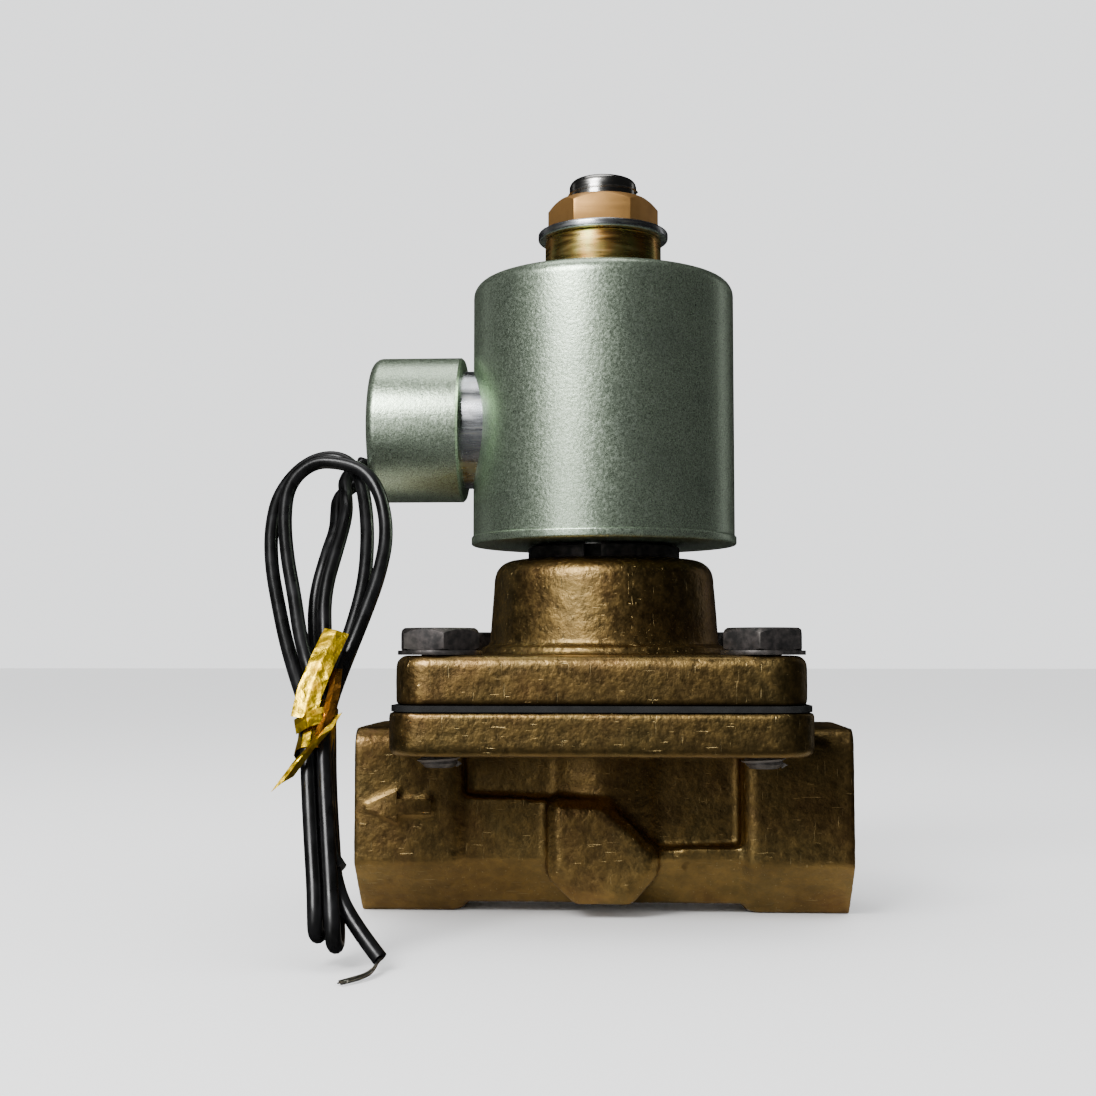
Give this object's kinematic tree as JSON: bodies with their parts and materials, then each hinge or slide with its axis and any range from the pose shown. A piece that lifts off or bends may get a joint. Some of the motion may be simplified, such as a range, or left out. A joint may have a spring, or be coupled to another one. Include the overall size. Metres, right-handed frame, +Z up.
{
  "type": "solenoid valve",
  "caption": "Two-way brass solenoid valve with threaded ports, a clamped diaphragm, a turning coil with a side conduit hub, and a tied hank of bare-ended leads.",
  "frame": {"origin": "centre of the underside, on the stem axis, level with the flats that the port bosses stand on", "axes": "+Z up along the stem, +X out of the inlet port, +Y towards the back; the outlet port faces -X and the flow arrow is on the -Y side"},
  "size_m": [0.0799, 0.0871, 0.1068],
  "materials": {
    "forged_brass": "forged and tarnished, bright along its edges",
    "machined_brass": "turned, satin",
    "black_rubber": "moulded, matt",
    "green_rubber": "moulded, matt",
    "dark_steel": "oiled dark, worn at the corners",
    "black_steel": "blackened",
    "stainless": "turned, bright",
    "spring_steel": "drawn wire",
    "bright_zinc": "bright zinc plate",
    "yellow_zinc": "yellow passivated zinc plate",
    "green_paint": "grey-green metallic hammer paint",
    "white_nylon": "moulded",
    "copper": "enamelled copper wire",
    "amber_tape": "polyester tape",
    "lead_cover": "smooth flexible insulation",
    "gold_foil": "creased metallised film",
    "tinned_wire": "tinned strands"
  },
  "bodies": {
    "root": {"valve_body": "forged_brass", "bonnet": "forged_brass", "diaphragm": "black_rubber", "flange_screws": "dark_steel", "screw_washers": "dark_steel", "armature_tube": "stainless", "tube_ring_nut": "black_steel", "tube_o_ring": "black_rubber", "fixed_core": "stainless", "shading_ring": "copper", "spacer_collar": "yellow_zinc", "stem_washer": "bright_zinc", "coil_nut": "machined_brass", "main_spring": "spring_steel", "plunger_spring": "spring_steel"},
    "main_valve": {"diaphragm_plate": "machined_brass", "pilot_hub": "machined_brass", "seat_seal": "black_rubber", "seal_washer": "machined_brass", "hub_nut": "machined_brass"},
    "plunger": {"plunger": "stainless", "plunger_seal": "green_rubber"},
    "coil": {"coil_can": "green_paint", "coil_base_plate": "green_paint", "conduit_hub": "green_paint", "hub_nipple": "bright_zinc", "hub_grommet": "black_rubber", "coil_bobbin": "white_nylon", "coil_winding": "copper", "winding_tape": "amber_tape", "lead_front": "lead_cover", "lead_back": "lead_cover", "lead_hank": "lead_cover", "lead_tie": "gold_foil", "lead_strands": "tinned_wire"}
  },
  "joints": [
    {"name": "main_lift", "type": "slide", "parent": "root", "child": "main_valve", "axis": [0, 0, 1], "range_m": [0, 0.004], "stiffness_N_per_m": 400, "springref_m": -0.003, "deforming": ["main_spring", "diaphragm"]},
    {"name": "pilot_lift", "type": "slide", "parent": "main_valve", "child": "plunger", "axis": [0, 0, 1], "range_m": [0, 0.0012], "stiffness_N_per_m": 250, "springref_m": -0.004, "deforming": ["plunger_spring"]},
    {"name": "coil_swivel", "type": "hinge", "parent": "root", "child": "coil", "pos_m": [0, 0, 0.072], "axis": [0, 0, 1], "continuous": true}
  ]
}
